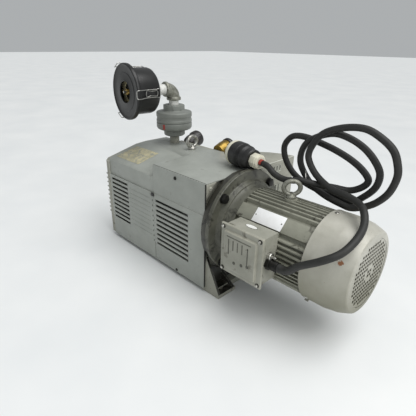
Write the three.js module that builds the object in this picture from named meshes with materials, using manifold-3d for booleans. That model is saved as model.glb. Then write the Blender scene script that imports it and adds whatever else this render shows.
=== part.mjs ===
// Rotary vane vacuum pump, direct driven by a flanged electric motor.
// Millimetres, +X along the shaft to the motor's fan end, +Y away from the terminal box, +Z up.
// The origin is on the standing surface, under the shaft, at the plane where the motor flange seats.
import * as THREE from 'three';
import { mergeVertices } from 'three/addons/utils/BufferGeometryUtils.js';
import Module from 'manifold-3d';

const wasm = await Module();
wasm.setup();

// ---------- driving dimensions ----------
const gap = 0.3; // kept between pieces that touch
const shaftHeight = 158;
const bodyHalfWidth = 102;
const bodyLeft = -387;
const bodyRight = -12;
const coverJoint = -190; // where the left panel meets the right panel
const bodyBottom = 10;
const roofTop = 263;
const shoulderHeight = 237; // top of the hood's side on the terminal box side
const ledgeHeight = 192; // top of the louvred lower panels
const sheet = 2.5;

const mouthRadius = 125; // round mouth of the end casting, around the flange
const flangeRadius = 118;
const boltCircleRadius = 106;
const flangeBack = 5;
const flangeFront = 15;
const frameLeft = 48; // finned motor frame
const frameRight = 226;
const finRadius = 87.4;
const cowlLeft = 214;
const cowlRight = 300;
const cowlRadius = 90;
const cowlFaceRadius = 76;

const boreRadius = 62;
const rotorRadius = 54;
const boreCentreHeight = shaftHeight - (boreRadius - rotorRadius - 1);
const cylinderLeft = -250;
const cylinderRight = -90;
const shaftRadius = 12.5;
const bearingRadius = 31;
const vaneCount = 4;
const vaneThickness = 4.6;

const intakeX = -322;
const intakeY = 74;
const pipeRadius = 13.4; // three-quarter inch pipe
const pipeBore = 10.2;
const elbowHeight = 409;
const filterTurn = THREE.MathUtils.degToRad(-6); // the filter points along -Y, turned a little to -X
const bowlRadius = 56.5;
const bowlStart = 68; // distances along the filter's axis from the elbow's centre
const lidStart = 134;
const lidEnd = 144;
const lidRadius = 68;

const valveTilt = THREE.MathUtils.degToRad(14);
const cordRadius = 6.5;

// ---------- materials ----------
function finish(color, roughness, metalness) {
  return new THREE.MeshStandardMaterial({ color, roughness, metalness });
}

const greyPaint = finish(0x8b8f89, 0.55, 0.1);
const motorPaint = finish(0x74766b, 0.6, 0.1);
const cowlPaint = finish(0xa9aaa2, 0.5, 0.2);
const castIron = finish(0x5c5c5a, 0.8, 0.6);
const steel = finish(0x9a9a98, 0.35, 0.9);
const galvanised = finish(0x8f9189, 0.5, 0.8);
const brass = finish(0xb08a3e, 0.35, 0.9);
const copper = finish(0xa5623a, 0.5, 0.8);
const blackPlastic = finish(0x1c1c1c, 0.5, 0);
const blackSteel = finish(0x222322, 0.45, 0.3);
const rubber = finish(0x2b2b2a, 0.9, 0);
const carbon = finish(0x303030, 0.6, 0);
const paper = finish(0xd9cfae, 0.9, 0);
const cream = finish(0xe2e0cf, 0.6, 0);

// ---------- solids ----------
const round = 24; // sides of a turned piece, unless it says otherwise

function solidOf(source) {
  const geometry = source.clone();
  geometry.deleteAttribute('normal');
  geometry.deleteAttribute('uv');
  const merged = mergeVertices(geometry, 1e-4);
  const points = merged.attributes.position;
  const corners = merged.index.array;
  const triangles = [];
  let volume = 0;
  const [a, b, c] = [new THREE.Vector3(), new THREE.Vector3(), new THREE.Vector3()];
  for (let i = 0; i < corners.length; i += 3) {
    const [p, q, r] = [corners[i], corners[i + 1], corners[i + 2]];
    if (p === q || q === r || r === p) continue;
    triangles.push(p, q, r);
    a.fromBufferAttribute(points, p);
    b.fromBufferAttribute(points, q);
    c.fromBufferAttribute(points, r);
    volume += a.dot(b.cross(c));
  }
  if (volume < 0) triangles.reverse(); // the outline ran the other way round
  const vertProperties = new Float32Array(points.array);
  const triVerts = new Uint32Array(triangles);
  return new wasm.Manifold(new wasm.Mesh({ numProp: 3, vertProperties, triVerts }));
}

function geometryOf(solid) {
  const mesh = solid.getMesh();
  const geometry = new THREE.BufferGeometry();
  geometry.setAttribute('position', new THREE.BufferAttribute(mesh.vertProperties, 3));
  geometry.setIndex(new THREE.BufferAttribute(mesh.triVerts, 1));
  return geometry;
}

const join = (...parts) => parts.reduce((whole, part) => whole.add(part));
const cut = (whole, ...tools) => tools.reduce((rest, tool) => rest.subtract(tool), whole);

function block(x0, x1, y0, y1, z0, z1) {
  const geometry = new THREE.BoxGeometry(x1 - x0, y1 - y0, z1 - z0);
  return solidOf(geometry.translate((x0 + x1) / 2, (y0 + y1) / 2, (z0 + z1) / 2));
}

// A profile is a list of [radius, distance along the axis].
function lathed(profile, sides) {
  return new THREE.LatheGeometry(profile.map(([r, s]) => new THREE.Vector2(r, s)), sides);
}

function turnedX(profile, sides = round, z = shaftHeight, y = 0) {
  const closed = profile[0][0] === 0 ? profile : [...profile, profile[0]];
  return solidOf(lathed(closed, sides).rotateZ(-Math.PI / 2).translate(0, y, z));
}

function turnedZ(profile, x, y, sides = round) {
  const closed = profile[0][0] === 0 ? profile : [...profile, profile[0]];
  return solidOf(lathed(closed, sides).rotateX(Math.PI / 2).translate(x, y, 0));
}

const rod = (radius, from, to) => [[0, from], [radius, from], [radius, to], [0, to]];
const ring = (inner, outer, from, to) => [[inner, from], [outer, from], [outer, to], [inner, to]];

function outline(points) {
  return new THREE.Shape(points.map(([u, v]) => new THREE.Vector2(u, v)));
}

// An outline in (y, z) drawn out along X.
function alongX(points, x0, x1) {
  const geometry = new THREE.ExtrudeGeometry(outline(points), { depth: x1 - x0, bevelEnabled: false });
  const turn = new THREE.Matrix4().set(0, 0, 1, x0, 1, 0, 0, 0, 0, 1, 0, 0, 0, 0, 0, 1);
  return solidOf(geometry.applyMatrix4(turn));
}

// An outline in (x, z) drawn out along Y.
function alongY(points, y0, y1) {
  const geometry = new THREE.ExtrudeGeometry(outline(points), { depth: y1 - y0, bevelEnabled: false });
  return solidOf(geometry.rotateX(Math.PI / 2).translate(0, y1, 0));
}

// An outline in (x, y) drawn up along Z.
function alongZ(points, z0, z1) {
  const geometry = new THREE.ExtrudeGeometry(outline(points), { depth: z1 - z0, bevelEnabled: false });
  return solidOf(geometry.translate(0, 0, z0));
}

function circle(radius, sides) {
  return Array.from({ length: sides }, (_, i) => {
    const angle = (i / sides) * 2 * Math.PI;
    return [radius * Math.cos(angle), radius * Math.sin(angle)];
  });
}

function tubeAlong(curve, radius, sides, steps) {
  const section = outline(circle(radius, sides));
  return solidOf(new THREE.ExtrudeGeometry(section, { steps, extrudePath: curve, bevelEnabled: false }));
}

const spline = (points, tension = 0.5) =>
  new THREE.CatmullRomCurve3(points.map((p) => new THREE.Vector3(...p)), false, 'catmullrom', tension);

const pump = new THREE.Group();

function add(name, solid, material, parent = pump) {
  const mesh = new THREE.Mesh(geometryOf(solid), material);
  mesh.name = name;
  parent.add(mesh);
  return mesh;
}

// ---------- base frame: tray, end casting, front feet ----------
const castingLeft = -36;
const plateRight = -10;
const footLength = 30;
const footHoleX = 14;
const footHoleY = 70;

function foot(side) {
  const [near, far] = side < 0 ? [-97, -42] : [42, 97];
  const edge = side < 0 ? [-97, -91] : [91, 97];
  const inner = side < 0 ? [-48, -42] : [42, 48];
  const rib = [[plateRight - 1, 1], [footLength, 1], [footLength, 9], [plateRight - 1, 90]];
  const hole = turnedZ(rod(5.5, -1, 11), footHoleX, side * footHoleY, 16);
  const pad = block(castingLeft + 12, footLength, near, far, 0, 9);
  const lowRib = [[plateRight - 1, 1], [footLength - 4, 1], [footLength - 4, 9], [plateRight - 1, 34]];
  return cut(join(pad, alongY(rib, ...edge), alongY(lowRib, ...inner)), hole);
}

function baseFrame() {
  const half = bodyHalfWidth - 4;
  const tray = block(bodyLeft + 6, castingLeft + 2, -half, half, bodyBottom, bodyBottom + 4);
  const face = block(-24, plateRight, -half - 1, half + 1, 8, roofTop - sheet - gap);
  const faceWithMouth = cut(face, turnedX(rod(mouthRadius, -30, 0), 36));
  const bulkhead = block(castingLeft, -23, -half, half, bodyBottom, roofTop - 6);
  const seatRadius = flangeRadius - 5;
  const seatFace = flangeBack - gap;
  const boreWide = 84;
  const sleeve = [[boreWide, castingLeft + 1], [96, castingLeft + 1], [96, bodyRight + gap]];
  const collar = [[seatRadius, bodyRight + gap], [seatRadius, seatFace], [boreWide, seatFace]];
  const seat = turnedX([...sleeve, ...collar], 32);
  const bar = block(-24, 12, -97, 97, 0, 12);
  const bore = turnedX(rod(boreWide, castingLeft - 1, flangeBack + 1), 32);
  return cut(join(tray, faceWithMouth, bulkhead, seat, bar, foot(-1), foot(1)), bore);
}
add('base_frame', baseFrame(), greyPaint);

for (const [name, y] of [['rear_foot_near', -65], ['rear_foot_far', 65]]) {
  const profile = [[0, 0], [19, 0], [20, 2], [17, bodyBottom - gap], [0, bodyBottom - gap]];
  add(name, turnedZ(profile, -330, y, 16), rubber);
}

// ---------- pump cylinder, end plates, bearings ----------
function cylinder() {
  const [left, right] = [cylinderLeft, cylinderRight];
  const barrel = [
    [boreRadius, left], [92, left], [92, left + 14], [78, left + 16],
    [78, right - 16], [92, right - 14], [92, right], [boreRadius, right],
  ];
  return turnedX(barrel, round, boreCentreHeight);
}

function endPlate(left, right, bearingLeft, bearingRight) {
  const disc = turnedX(ring(84, 92, left, right), round, boreCentreHeight);
  const web = turnedX(rod(86, left, right), round, boreCentreHeight);
  const leg = block(left, right, -60, 60, bodyBottom + 4 + gap, boreCentreHeight - 40);
  const seat = turnedX(rod(bearingRadius + gap, bearingLeft, bearingRight));
  const shaftHole = turnedX(rod(shaftRadius + 0.5, left - 1, right + 1), 24);
  return cut(join(disc, web, leg), seat, shaftHole);
}

const suctionHeight = 195;
const suctionHole = turnedX(rod(pipeBore, -290, cylinderLeft - 6), 20, suctionHeight, intakeY);
add('cylinder', cylinder(), castIron);
add('front_end_plate', endPlate(cylinderRight + gap, -72, -88, -71), castIron);
add('rear_end_plate', cut(endPlate(-268, cylinderLeft - gap, -269, -252), suctionHole), castIron);
add('front_bearing', turnedX(ring(shaftRadius + 0.5, bearingRadius, -87.5, -72)), steel);
add('rear_bearing', turnedX(ring(shaftRadius + 0.5, bearingRadius, -268, -252.5)), steel);

// ---------- the turning pieces ----------
function rotor() {
  const shaft = turnedX(rod(shaftRadius, -312, -55), 24);
  const drum = turnedX(rod(rotorRadius, cylinderLeft + 0.5, cylinderRight - 0.5), 32);
  const slots = Array.from({ length: vaneCount }, (_, i) => {
    const half = vaneThickness / 2 + gap;
    const slot = block(cylinderLeft - 1, cylinderRight + 1, -half, half, 20, 60);
    return slot.rotate([(360 / vaneCount) * i + 45, 0, 0]).translate([0, 0, shaftHeight]);
  });
  return join(cut(drum, ...slots), shaft);
}
add('rotor', rotor(), castIron);

for (let i = 0; i < vaneCount; i += 1) {
  const half = vaneThickness / 2;
  const vane = block(cylinderLeft + 0.8, cylinderRight - 0.8, -half, half, 21, rotorRadius - 0.6);
  const turned = vane.rotate([(360 / vaneCount) * i + 45, 0, 0]).translate([0, 0, shaftHeight]);
  add(`vane_${i + 1}`, turned, carbon);
}

// A backed paddle wheel: hub, disc and straight blades, with the hub bored for its shaft.
function paddleWheel(left, right, bore, hubRadius, radius, blades, discLeft) {
  const hub = turnedX(rod(hubRadius, left, right), 16);
  const disc = turnedX(rod(radius - 2, discLeft, discLeft + 3), round);
  const paddles = Array.from({ length: blades }, (_, i) => {
    const paddle = block(left + 1, right - 1, -1.5, 1.5, hubRadius - 2, radius);
    return paddle.rotate([(360 / blades) * i, 0, 0]).translate([0, 0, shaftHeight]);
  });
  return cut(join(hub, disc, ...paddles), turnedX(rod(bore, left - 1, right + 1), 16));
}
add('pump_cooling_fan', paddleWheel(-306, -276, shaftRadius + gap, 22, 66, 9, -279), blackPlastic);

// Jaw coupling: two hubs with three jaws each, and a rubber star between them.
const hubFaces = [-54, -42];
const jawReach = 10.5;

function couplingHub(left, right, jawLeft, jawRight, turn, bore) {
  const hub = turnedX(rod(27, left, right));
  const jaws = [0, 120, 240].map((angle) => {
    const jaw = block(jawLeft, jawRight, -4, 4, 15, 26);
    return jaw.rotate([angle + turn, 0, 0]).translate([0, 0, shaftHeight]);
  });
  return cut(join(hub, ...jaws), turnedX(rod(bore, left - 1, right + 1), 16));
}

function spider(left, right) {
  const arms = Array.from({ length: 6 }, (_, i) => {
    const arm = block(left, right, -3, 3, 8, 25);
    return arm.rotate([60 * i + 30, 0, 0]).translate([0, 0, shaftHeight]);
  });
  return join(turnedX(rod(12, left, right), 16), ...arms);
}

const [pumpFace, motorFace] = hubFaces;
const hubBore = shaftRadius + gap;
const pumpHub = couplingHub(pumpFace - 16, pumpFace, pumpFace - 1, pumpFace + jawReach, 0, hubBore);
const motorHub = couplingHub(motorFace, motorFace + 16, motorFace - jawReach, motorFace + 1, 60, hubBore);
add('coupling_pump_half', pumpHub, steel);
add('coupling_spider', spider(pumpFace + 0.5, motorFace - 0.5), rubber);
add('coupling_motor_half', motorHub, steel);

// ---------- motor ----------
function motorRotor() {
  const shaft = turnedX([
    [0, motorFace + 1], [shaftRadius, motorFace + 1], [shaftRadius, 24], [17, 24],
    [17, 224], [11, 224], [11, 274], [0, 274],
  ], 16);
  return join(shaft, turnedX(rod(48, 75, 195), round));
}
add('motor_rotor', motorRotor(), steel);
add('motor_fan', paddleWheel(246, 272, 11 + gap, 18, 78, 8, 246.5), blackPlastic);
add('motor_front_bearing', turnedX(ring(shaftRadius + 0.5, bearingRadius, 6, 22)), steel);
add('motor_rear_bearing', turnedX(ring(11.4, 26, 226.8, 241)), steel);

function driveShield() {
  const body = turnedX([
    [bearingRadius + gap, flangeBack], [flangeRadius, flangeBack], [flangeRadius, flangeFront],
    [97, flangeFront], [94, flangeFront + 3], [finRadius - 1, frameLeft - gap],
    [finRadius - 12, frameLeft - gap], [84, flangeFront + 8], [38, flangeFront + 8], [38, 26],
    [bearingRadius + gap, 26],
  ], 32);
  const holes = [45, 135, 225, 315].map((angle) => {
    const hole = turnedX(rod(6.5, flangeBack - 1, flangeFront + 1), 8, 0);
    return hole.translate([0, 0, boltCircleRadius]).rotate([angle, 0, 0]).translate([0, 0, shaftHeight]);
  });
  return cut(body, ...holes);
}
add('drive_end_shield', driveShield(), motorPaint);

const motorEyeX = 126;

// Cast frame: a tube with upright fins above and below, level fins at the sides, and pads at the corners.
function statorFrame() {
  const fins = [];
  for (let i = -4; i <= 4; i += 1) {
    const offset = i * 9.5;
    fins.push(block(frameLeft, frameRight, offset - 1.5, offset + 1.5, -finRadius - 5, finRadius + 5));
    fins.push(block(frameLeft, frameRight, -finRadius - 5, finRadius + 5, offset - 1.5, offset + 1.5));
  }
  const lowPad = block(frameLeft, frameRight, -15, 15, 70, finRadius);
  const pads = [45, 135, 225, 315].map((angle) => lowPad.rotate([angle, 0, 0]));
  const barrel = turnedX(rod(79.5, frameLeft, frameRight), round, 0);
  const boxSpace = block(69, 161, -130, -82, 118, 214);
  const envelope = turnedX(rod(finRadius, frameLeft, frameRight), 32, 0);
  const finned = join(barrel, ...fins, ...pads).intersect(envelope).translate([0, 0, shaftHeight]);
  const boxFoot = block(76, 154, -82, -60, 126, 206);
  const eyeBoss = turnedZ(rod(13, 225, 248), motorEyeX, 0, 16);
  const bore = turnedX(rod(76.3, frameLeft - 1, frameRight + 1));
  return cut(join(cut(finned, boxSpace), boxFoot, eyeBoss), bore);
}
add('motor_frame', statorFrame(), motorPaint);

function woundStator() {
  const winding = [[50, 54], [72, 54], [72, 216], [50, 216]];
  const core = turnedX(ring(48.7, 76, 70, 200), round);
  return join(core, turnedX(winding, round));
}
add('wound_stator', woundStator(), copper);

const rearShield = [
  [26.3, frameRight + gap], [86, frameRight + gap], [86, 233], [40, 233], [38, 242], [26.3, 242],
];
add('fan_end_shield', turnedX(rearShield, round), motorPaint);

function fanCowl() {
  const wall = 1.5;
  const coneStart = 258;
  const inside = [
    [0, cowlRight - wall], [cowlFaceRadius - 1, cowlRight - wall], [cowlFaceRadius + 1, 294], [84.5, 277],
    [cowlRadius - wall, coneStart - 1], [cowlRadius - wall, cowlLeft],
  ];
  const outside = [
    [cowlRadius, cowlLeft], [cowlRadius, coneStart], [86, 278], [cowlFaceRadius + 3, 295],
    [cowlFaceRadius, cowlRight], [0, cowlRight],
  ];
  return turnedX([...inside, ...outside], 28);
}

// Level air slots in the cowl's end face, as wide as the face allows at their height.
function cowlGrille() {
  const pitch = 9;
  const half = 2;
  const reach = 62;
  return Array.from({ length: 13 }, (_, i) => {
    const z = (i - 6) * pitch;
    const width = Math.sqrt(reach ** 2 - z ** 2);
    return block(cowlRight - 3, cowlRight + 1, -width, width, shaftHeight + z - half, shaftHeight + z + half);
  });
}
add('fan_cowl', cut(fanCowl(), ...cowlGrille()), cowlPaint);

// A forged eye on a short threaded shank, with its ring facing along `turn` about Z.
function liftingEye(x, y, seatHeight, depth, turn) {
  const ringRadius = 14;
  const torus = new THREE.TorusGeometry(ringRadius, 4.2, 6, 16).rotateX(Math.PI / 2).rotateZ(turn);
  const loop = solidOf(torus.translate(x, y, seatHeight + ringRadius + 7));
  const collar = turnedZ(rod(10, seatHeight + gap, seatHeight + 6), x, y, 16);
  return join(loop, collar, turnedZ(rod(4, seatHeight - depth, seatHeight + 5), x, y, 12));
}
add('motor_lifting_eye', liftingEye(motorEyeX, 0, 248, -gap, Math.PI / 4), steel);

// ---------- terminal box ----------
const boxFront = -126;
const glandY = -108;
const glandZ = 161;
const glandShank = 9.9;

function terminalBox() {
  const outer = block(70, 160, boxFront, -82 - gap, 119, 213);
  const hollow = block(74, 156, boxFront - 1, -88, 123, 209);
  const glandHole = turnedX(rod(glandShank + gap, 150, 161), 16, glandZ, glandY);
  return cut(outer, hollow, glandHole);
}
add('terminal_box', terminalBox(), greyPaint);

function terminalCover() {
  const back = boxFront - gap;
  const plate = block(65, 165, back - 5.5, back, 115, 218);
  const panel = block(77, 153, back - 10, back - 5, 127, 206);
  return join(plate, panel);
}
add('terminal_cover', terminalCover(), greyPaint);

// ---------- cord and plug ----------
const cordStart = 184;

function gland() {
  const threaded = turnedX(rod(glandShank, 150.5, 162), 16, glandZ, glandY);
  const nut = turnedX(rod(15, 160 + gap, 170), 6, glandZ, glandY);
  const clamp = turnedX(rod(12, 169, cordStart - gap), 16, glandZ, glandY);
  const ears = block(172, 181, glandY - 4, glandY + 4, glandZ - 17, glandZ + 17);
  return join(threaded, nut, clamp, ears);
}
add('cord_gland', gland(), steel);

// The plug lies on the roof, pointing to -X and a little to +Y.
const plugRadius = 28.4;
const plug = new THREE.Group();
plug.position.set(27, 24, roofTop + plugRadius + 0.4);
plug.rotation.z = Math.PI - Math.atan2(0.222, 0.975);
pump.add(plug);

function turnedAlong(profile, sides) {
  return turnedX(profile, sides, 0);
}
const plugBody = [
  [0, 23], [21, 23], [22.2, 27], [22.2, 40], [26, 46], [27, 60], [plugRadius, 63], [plugRadius, 92], [0, 92],
];
const plugCollar = [[0, 0], [14, 0], [17, 4], [17, 23 - gap], [0, 23 - gap]];
add('plug_collar', turnedAlong(plugCollar, 20), cream, plug);
add('plug_body', turnedAlong(plugBody, 24), blackPlastic, plug);

function plugInsert() {
  const face = turnedAlong(rod(27, 92 + gap, 97), 24);
  const arc = turnedAlong(ring(12, 14, 96, 116), 24);
  const quarters = [45, 135, 225, 315].map((angle) => {
    const wedge = block(95, 117, -7, 7, 6, 20);
    return arc.intersect(wedge.rotate([angle, 0, 0]));
  });
  return join(face, ...quarters);
}
add('plug_insert', plugInsert(), brass, plug);

// The route climbs from the gland, loops three times in the air over the motor, and runs to the plug.
const plugEntry = new THREE.Vector3(-gap, 0, 0).applyEuler(plug.rotation).add(plug.position);
const cordRoute = [
  [195, -108, 161.4], [206, -109.5, 167], [224, -112, 185], [262, -110, 212], [283, -90, 227],
  [290, -60, 243],
  [285, -28, 255], [271, -4, 269], [251, 14, 273], [226, 22, 276], [191, 30, 277], [152, 42, 290],
  [129, 47, 312], [124, 50, 331], [136, 52, 358], [154, 53, 375], [189, 54, 388], [224, 55, 391],
  [253, 56, 380], [276, 57, 363], [287, 58, 341], [291, 58, 319], [284, 58, 290], [269, 57, 268],
  [250, 56, 253], [225, 55, 242], [204, 55, 243], [167, 56, 250], [135, 58, 263], [114, 60, 281],
  [100, 62, 302], [99, 64, 325], [110, 65, 346], [135, 66, 362], [165, 67, 371], [196, 68, 366],
  [224, 69, 353], [246, 69, 334], [258, 70, 313], [255, 70, 288], [238, 70, 265], [216, 70, 248],
  [183, 71, 251], [142, 73, 250], [93, 76, 261], [64, 79, 279], [48, 80, 303], [46, 81, 326],
  [63, 81, 346], [93, 81, 350], [130, 81, 344], [165, 80, 336], [198, 80, 324], [223, 79, 310],
  [237, 78, 294], [228, 75, 279], [208, 69, 269], [184, 54, 272], [155, 40, 274], [131, 24, 279],
  [112, 21, 275], [92, 19, 273], [70, 17, 279], [53, 18.1, 289.5], [40, 21, 291.8],
];
const cordPath = [[cordStart, glandY, glandZ], ...cordRoute, plugEntry.toArray()];
add('cord', tubeAlong(spline(cordPath), cordRadius, 8, 79), rubber);

// ---------- hood and panels ----------
// The hood's outer face in (y, z), from the terminal box side over the roof to the far side.
const hoodFace = [
  [-101, ledgeHeight - 2], [-101, shoulderHeight - 4], [-97, shoulderHeight], [-4, roofTop - 3],
  [30, roofTop], [94, roofTop], [101, roofTop - 7], [101, ledgeHeight - 2],
];
const hoodLining = [
  [98.5, ledgeHeight - 2], [98.5, roofTop - 8], [93, roofTop - sheet], [30, roofTop - sheet],
  [-4, roofTop - 3 - sheet], [-96, shoulderHeight - sheet], [-98.5, shoulderHeight - 5],
  [-98.5, ledgeHeight - 2],
];

function hood() {
  const shell = alongX([...hoodFace, ...hoodLining], bodyLeft, coverJoint);
  const roof = block(coverJoint - 3, bodyRight, -99.2, 99.2, roofTop - sheet, roofTop);
  const intakeHole = turnedZ(rod(pipeRadius + gap, roofTop - 9, roofTop + 1), intakeX, intakeY, 24);
  return cut(join(shell, roof), intakeHole);
}
add('roof_hood', hood(), greyPaint);

// Louvre slots cut through a side panel, evenly spaced between two heights.
const slotCount = 10;
const slotHeight = 4;

function slots(x0, x1, zTop, zBottom, y0, y1) {
  return Array.from({ length: slotCount }, (_, i) => {
    const z = zTop + ((zBottom - zTop) * i) / (slotCount - 1);
    return block(x0, x1, y0, y1, z - slotHeight / 2, z + slotHeight / 2);
  });
}

const panelFace = 103.2;

// Both sides' spans in Y, from two distances off the middle.
const span = (side, inner, outer) => (side < 0 ? [-outer, -inner] : [inner, outer]);

function leftPanel(side) {
  const right = coverJoint - gap;
  const panel = block(bodyLeft, right, ...span(side, panelFace - 2, panelFace), bodyBottom, ledgeHeight);
  const lip = block(bodyLeft, right, ...span(side, 98.3, 102), bodyBottom, 14 - gap);
  return join(panel, lip);
}
const leftSlots = slots(-380, -303, 181, 69, -panelFace - 1, -100);

function rightPanel(side) {
  const lower = span(side, 99.5, panelFace);
  const panel = join(
    block(coverJoint + gap, bodyRight, ...span(side, 99.5, 101.7), bodyBottom, roofTop),
    block(coverJoint + gap, bodyRight, ...lower, bodyBottom, ledgeHeight),
  );
  const openings = slots(-183, -64, 175, 59, lower[0] - 1, lower[1] + 1);
  const screwHoles = [251, 16].map((z) => {
    const hole = new THREE.CylinderGeometry(2.2, 2.2, 12, 8);
    return solidOf(hole.translate(-107, side * 101, z));
  });
  return cut(panel, ...openings, ...screwHoles);
}
add('left_panel', cut(leftPanel(-1), ...leftSlots), greyPaint);
add('right_panel', rightPanel(-1), greyPaint);

const seamStrip = block(coverJoint - 2, coverJoint + 2, panelFace - 2, panelFace, bodyBottom, ledgeHeight);
add('far_panel', join(leftPanel(1), rightPanel(1), seamStrip), greyPaint);

// Air inlet grille at the pump's end: a deep cast cover with louvre blades over its slots.
function endGrille() {
  const edge = panelFace;
  const face = [
    [-edge, 12], [edge, 12], [edge, roofTop - 9], [96, roofTop - 4], [30, roofTop - 4], [-4, roofTop - 7],
    [-97, shoulderHeight - 4], [-edge, shoulderHeight - 10],
  ];
  const front = bodyLeft - 15;
  const blades = [];
  const windows = [];
  for (let i = 0; i < slotCount; i += 1) {
    const z = 72 + i * 12.6;
    const blade = [[front + 1, z], [front - 7, z + 2], [front - 7, z + 4], [front + 1, z + 7]];
    blades.push(alongY(blade, -edge, edge));
    windows.push(block(front - 1, bodyLeft, -88, 88, z + 7.7, z + 7.7 + slotHeight));
  }
  return cut(join(alongX(face, front, bodyLeft - gap), ...blades), ...windows);
}
add('end_grille', endGrille(), greyPaint);

// ---------- far side: outlet housing and regulating valves ----------
const farFace = panelFace + gap;
function outletHousing() {
  const bulge = [[bodyRight, 214], [-40, 208], [-75, 192], [-104, 168], [-112, 140]];
  const shelfPlan = [[-330, farFace], [bodyRight, farFace], ...bulge, [-112, 122], [-330, 122]];
  const ductPlan = [[-112, farFace], [bodyRight, farFace], ...bulge];
  const hollowPlan = [
    [-107, farFace - 1], [bodyRight - 5, farFace - 1], [bodyRight - 5, 208], [-42, 203], [-72, 188],
    [-99, 165], [-107, 139],
  ];
  const manifoldFace = [[farFace, 200], [126.1, 200], [126.1, 231.6], [119.8, 256.9], [farFace, 256.9]];
  const duct = cut(alongZ(ductPlan, 55, roofTop), alongZ(hollowPlan, 60, roofTop - 5));
  const outlets = [130, 142, 154].map((y) => {
    return block(bodyRight - 8, bodyRight + 1, y, y + slotHeight, 110, 250);
  });
  return join(cut(duct, ...outlets), alongZ(shelfPlan, 200, 236), alongX(manifoldFace, -345, -165));
}
add('outlet_housing', outletHousing(), greyPaint);

// A regulating valve on the manifold's slanted face: a body with a knob in front of it.
function regulator(prefix, x, body, bodyMaterial, knob) {
  const group = new THREE.Group();
  group.position.set(x, 121, 252);
  group.rotation.x = valveTilt;
  pump.add(group);
  const along = (profile) => solidOf(lathed(profile, round));
  add(`${prefix}_valve_body`, along(body), bodyMaterial, group);
  add(`${prefix}_valve_knob`, along(knob), blackPlastic, group);
}
regulator(
  'vacuum', -321, [[0, gap], [16, gap], [20, 12], [20, 22], [0, 22]], blackPlastic,
  [[0, 22 + gap], [20, 22 + gap], [23, 28], [23, 44], [20, 48], [0, 48]],
);
regulator(
  'relief', -193, [[0, gap], [19, gap], [21, 20], [21, 36], [0, 36]], brass,
  [[0, 36 + gap], [22.5, 36 + gap], [22.5, 46], [20, 48], [0, 48]],
);

// ---------- suction side: pipe, check valve, elbow, filter ----------
function suctionPipe() {
  const route = [
    [intakeX, intakeY, 284], [intakeX, intakeY, 262], [intakeX, intakeY, 226], [intakeX + 4, intakeY, 211],
    [intakeX + 14, intakeY, 200], [intakeX + 29, intakeY, suctionHeight], [-268.3, intakeY, suctionHeight],
  ];
  return tubeAlong(spline(route), pipeRadius, 12, 12);
}
add('suction_pipe', suctionPipe(), galvanised);

const valveSplit = 322;
function checkValveLower() {
  const profile = [
    [pipeBore, 284 + gap], [26, 284 + gap], [28.5, 289], [28.5, 301], [44, 301], [49, 310],
    [49, valveSplit - gap], [42, valveSplit - gap], [42, 308], [24, 308], [22, 296], [pipeBore, 296],
  ];
  return turnedZ(profile, intakeX, intakeY);
}

function checkValveUpper() {
  const profile = [
    [49, valveSplit], [49, 330], [48, 331], [48, 338], [49, 339], [49, 350], [30, 351], [28, 353], [28, 368],
    [pipeRadius + gap, 368], [pipeRadius + gap, 352], [20, 350], [20, 344], [42, 344], [42, valveSplit],
  ];
  return turnedZ(profile, intakeX, intakeY);
}
add('check_valve_lower', checkValveLower(), greyPaint);
add('check_valve_upper', checkValveUpper(), greyPaint);
add('check_disc', turnedZ(rod(34, 338, 343.4), intakeX, intakeY), steel);
add('upper_nipple', turnedZ(ring(pipeBore, pipeRadius, 354, 381), intakeX, intakeY), steel);

const filter = new THREE.Group();
filter.position.set(intakeX, intakeY, elbowHeight);
filter.rotation.z = filterTurn;
pump.add(filter);

// Profiles on the filter's axis give [radius, distance from the elbow's centre], along the group's -Y.
function turnedOut(profile, sides) {
  const closed = profile[0][0] === 0 ? profile : [...profile, profile[0]];
  return solidOf(lathed(closed, sides).rotateX(Math.PI));
}

function elbow() {
  const bend = 24;
  const curve = new THREE.QuadraticBezierCurve3(
    new THREE.Vector3(0, 0, -bend), new THREE.Vector3(0, 0, 0), new THREE.Vector3(0, -bend, 0),
  );
  const body = tubeAlong(curve, 16.5, 12, 5);
  const outBand = turnedOut(rod(19.5, bend - 3, bend + 5), round);
  const downBand = outBand.rotate([90, 0, 0]);
  const outBore = turnedOut(rod(pipeRadius + gap, bend - 9, bend + 6), round);
  return cut(join(body, outBand, downBand), outBore, outBore.rotate([90, 0, 0]));
}
add('elbow', elbow(), galvanised, filter);
add('filter_nipple', turnedOut(ring(pipeBore, pipeRadius, 16, bowlStart + 3), round), steel, filter);

function filterBowl() {
  return turnedOut([
    [pipeRadius + gap, bowlStart], [44, bowlStart], [53, bowlStart + 4], [bowlRadius, bowlStart + 13],
    [bowlRadius, lidStart - gap], [bowlRadius - 2.5, lidStart - gap], [bowlRadius - 2.5, bowlStart + 14],
    [51, bowlStart + 7], [43, bowlStart + 3], [pipeRadius + gap, bowlStart + 3],
  ], 28);
}

function clipLug(angle) {
  const lug = block(-12, 12, -bowlStart - 14, -bowlStart - 8, bowlRadius - 6, bowlRadius + 2.2);
  return lug.rotate([0, angle, 0]);
}
const clipAngles = [90, 330, 210]; // about the filter's axis, from straight up
const bowlHollow = turnedOut(rod(bowlRadius - 2.5, bowlStart + 14, lidEnd), 28);
const bowl = cut(join(filterBowl(), ...clipAngles.map(clipLug)), bowlHollow);
add('filter_bowl', bowl, blackSteel, filter);
add('filter_element', turnedOut(ring(30, 47, 84, 127), round), paper, filter);
const lidProfile = [
  [27, 140], [58, 139], [65, lidStart], [lidRadius, lidStart], [lidRadius, 141], [65, lidEnd], [60, 142],
  [27, 143.5],
];
add('filter_lid', turnedOut(lidProfile, 28), blackSteel, filter);

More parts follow.
